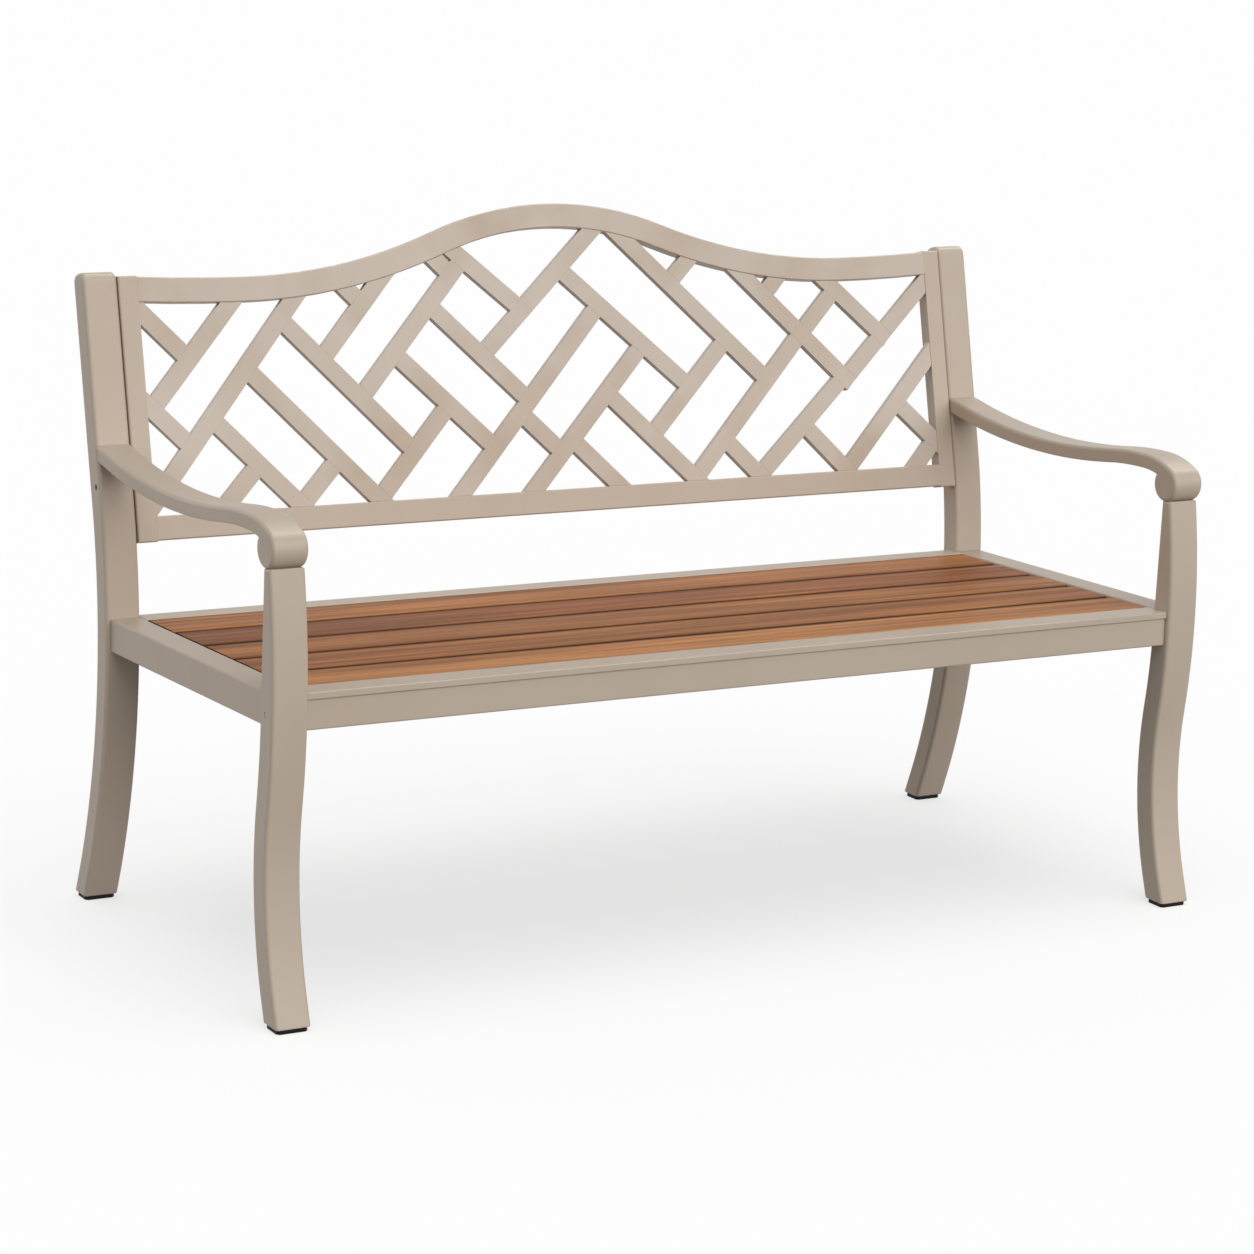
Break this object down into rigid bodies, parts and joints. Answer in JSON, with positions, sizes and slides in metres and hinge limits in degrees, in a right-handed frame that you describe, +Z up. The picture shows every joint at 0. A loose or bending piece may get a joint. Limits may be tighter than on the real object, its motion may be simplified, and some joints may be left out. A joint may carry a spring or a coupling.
{
  "type": "garden bench",
  "caption": "Metal garden bench with a camelback lattice back, scroll-ended arms, curved legs and a seat of wooden slats in a metal frame.",
  "frame": {"origin": "on the floor, under the middle of the bench's length and depth", "axes": "+X along the bench to a viewer's right, +Y from the front to the back, +Z up"},
  "size_m": [1.466, 0.6956, 0.9556],
  "materials": {
    "frame_paint": "satin taupe powder coat",
    "slat_wood": "oiled hardwood, grain along the slat",
    "glide_plastic": "moulded black, matt",
    "fastener_steel": "dull plated steel"
  },
  "bodies": {
    "root": {"back_bolts": "fastener_steel", "back_bottom_rail": "frame_paint", "back_dowels": "fastener_steel", "back_rail": "frame_paint", "back_top_rail": "frame_paint", "foot_glides": "glide_plastic", "front_rail": "frame_paint", "lattice_fall_01": "frame_paint", "lattice_fall_02": "frame_paint", "lattice_fall_03": "frame_paint", "lattice_fall_04": "frame_paint", "lattice_fall_05": "frame_paint", "lattice_fall_06": "frame_paint", "lattice_fall_07": "frame_paint", "lattice_fall_08": "frame_paint", "lattice_fall_09": "frame_paint", "lattice_fall_10": "frame_paint", "lattice_fall_11": "frame_paint", "lattice_fall_12": "frame_paint", "lattice_fall_13": "frame_paint", "lattice_fall_14": "frame_paint", "lattice_fall_15": "frame_paint", "lattice_fall_16": "frame_paint", "lattice_rise_01": "frame_paint", "lattice_rise_02": "frame_paint", "lattice_rise_03": "frame_paint", "lattice_rise_04": "frame_paint", "lattice_rise_05": "frame_paint", "lattice_rise_06": "frame_paint", "lattice_rise_07": "frame_paint", "lattice_rise_08": "frame_paint", "lattice_rise_09": "frame_paint", "lattice_rise_10": "frame_paint", "lattice_rise_11": "frame_paint", "lattice_rise_12": "frame_paint", "lattice_rise_13": "frame_paint", "lattice_rise_14": "frame_paint", "lattice_short_bars": "frame_paint", "left_armrest": "frame_paint", "left_back_leg": "frame_paint", "left_back_stile": "frame_paint", "left_front_leg": "frame_paint", "left_side_rail": "frame_paint", "right_armrest": "frame_paint", "right_back_leg": "frame_paint", "right_back_stile": "frame_paint", "right_front_leg": "frame_paint", "right_side_rail": "frame_paint", "seat_bolts": "frame_paint", "seat_slat_1": "slat_wood", "seat_slat_2": "slat_wood", "seat_slat_3": "slat_wood", "seat_slat_4": "slat_wood", "seat_slat_5": "slat_wood", "seat_support_left": "frame_paint", "seat_support_middle": "frame_paint", "seat_support_right": "frame_paint", "slat_screws": "fastener_steel"}
  },
  "joints": []
}
